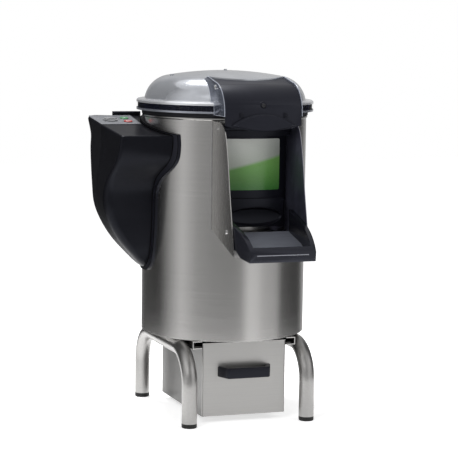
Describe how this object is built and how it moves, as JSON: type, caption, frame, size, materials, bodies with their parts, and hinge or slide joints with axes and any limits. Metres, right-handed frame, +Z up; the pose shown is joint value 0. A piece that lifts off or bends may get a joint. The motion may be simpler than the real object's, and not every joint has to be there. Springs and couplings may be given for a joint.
{
  "type": "electric potato peeler",
  "caption": "Floor-standing catering potato peeler: steel drum with clear hinged lid, front discharge door and tray, side control housing, underfloor drive and slide-out waste drawer.",
  "frame": {"origin": "on the floor, on the drum's vertical axis", "axes": "+Z up; -Y towards the operator, where the chute and the drawer's pull are; the control housing is on the -X side"},
  "size_m": [0.5152, 0.62, 0.8005],
  "materials": {
    "brushed_drum": "satin",
    "polished_sheet": "polished",
    "bright_sheet": "mill finish",
    "drawer_steel": "satin",
    "tube_steel": "polished",
    "screw_steel": "polished",
    "black_rubber": "matte",
    "ribbed_seal": "satin",
    "black_plastic": "satin",
    "housing_plastic": "satin",
    "foot_plastic": "matte",
    "clear_plastic": "clear",
    "printed_label": "printed",
    "panel_foil": "printed",
    "start_green": "gloss",
    "stop_red": "gloss",
    "dial_grey": "satin",
    "switchgear": "matte",
    "circuit_board": "matte",
    "magnet": "matte",
    "grit": "coarse",
    "grit_disc": "grit coated",
    "brass_fitting": "plated",
    "cast_hub": "machined",
    "motor_paint": "satin",
    "pulley_alloy": "machined"
  },
  "bodies": {
    "frame": {"drum_shell": "brushed_drum", "drum_rim_seal": "black_rubber", "chamber_floor": "bright_sheet", "abrasive_liner": "grit", "waste_spout": "bright_sheet", "water_inlet": "brass_fitting", "cable_gland": "black_plastic", "chute_plate_left": "polished_sheet", "chute_plate_right": "polished_sheet", "chute_pan": "polished_sheet", "discharge_tray": "black_plastic", "tray_floor": "polished_sheet", "tray_screws": "screw_steel", "door_pin": "screw_steel", "hinge_bracket": "polished_sheet", "hinge_pin": "screw_steel", "safety_switch": "black_plastic", "control_housing": "housing_plastic", "housing_saddle": "housing_plastic", "control_panel": "panel_foil", "contactor": "switchgear", "control_board": "circuit_board", "base_plate": "bright_sheet", "stand_hoop_left": "tube_steel", "stand_hoop_right": "tube_steel", "stand_feet": "foot_plastic", "base_bolts": "screw_steel", "drawer_rail_left": "bright_sheet", "drawer_rail_right": "bright_sheet", "drive_bracket": "bright_sheet", "bearing_housing": "cast_hub", "shaft_bearings": "screw_steel", "shaft_seal": "black_rubber", "motor_body": "motor_paint", "mount_bolts": "screw_steel", "drive_belt": "black_rubber"},
    "lid": {"lid_dome": "clear_plastic", "lid_seal": "ribbed_seal", "visor_cover": "black_plastic", "visor_cheek_left": "clear_plastic", "visor_cheek_right": "clear_plastic", "visor_screws": "screw_steel", "lid_strap": "polished_sheet", "switch_magnet": "magnet"},
    "door": {"door_panel": "black_plastic", "door_label": "printed_label", "door_seal": "black_rubber"},
    "drawer": {"drawer_box": "drawer_steel", "drawer_outlet": "drawer_steel", "strainer_basket": "bright_sheet", "drawer_handle": "black_plastic", "handle_screws": "screw_steel"},
    "turntable": {"peeling_disc": "grit_disc", "main_shaft": "screw_steel", "driven_pulley": "pulley_alloy"},
    "rotor": {"motor_shaft": "screw_steel", "motor_pulley": "pulley_alloy"},
    "start_key": {"start_button": "start_green"},
    "stop_key": {"stop_button": "stop_red"},
    "timer_knob": {"timer_dial": "dial_grey"}
  },
  "joints": [
    {"name": "lid_hinge", "type": "hinge", "parent": "frame", "child": "lid", "pos_m": [0, 0.222, 0.712], "axis": [-1, 0, 0], "range_deg": [0, 100]},
    {"name": "door_hinge", "type": "hinge", "parent": "frame", "child": "door", "pos_m": [0, -0.2055, 0.6765], "axis": [-1, 0, 0], "range_deg": [0, 62]},
    {"name": "drawer_slide", "type": "slide", "parent": "frame", "child": "drawer", "axis": [0, -1, 0], "range_m": [0, 0.25]},
    {"name": "disc_spin", "type": "hinge", "parent": "frame", "child": "turntable", "pos_m": [0, 0, 0.43], "axis": [0, 0, 1], "continuous": true},
    {"name": "rotor_spin", "type": "hinge", "parent": "frame", "child": "rotor", "pos_m": [0, 0.105, 0.21], "axis": [0, 0, 1], "continuous": true},
    {"name": "start_press", "type": "slide", "parent": "frame", "child": "start_key", "axis": [0, 0.1564, -0.9877], "range_m": [0, 0.0016], "stiffness_N_per_m": 800},
    {"name": "stop_press", "type": "slide", "parent": "frame", "child": "stop_key", "axis": [0, 0.1564, -0.9877], "range_m": [0, 0.0016], "stiffness_N_per_m": 800},
    {"name": "timer_turn", "type": "hinge", "parent": "frame", "child": "timer_knob", "pos_m": [-0.262, 0.05235, 0.67929], "axis": [0, -0.1564, 0.9877], "range_deg": [0, 270]}
  ],
  "couplings": [
    {"joint": "rotor_spin", "follows": "disc_spin", "ratio": 2.9}
  ]
}
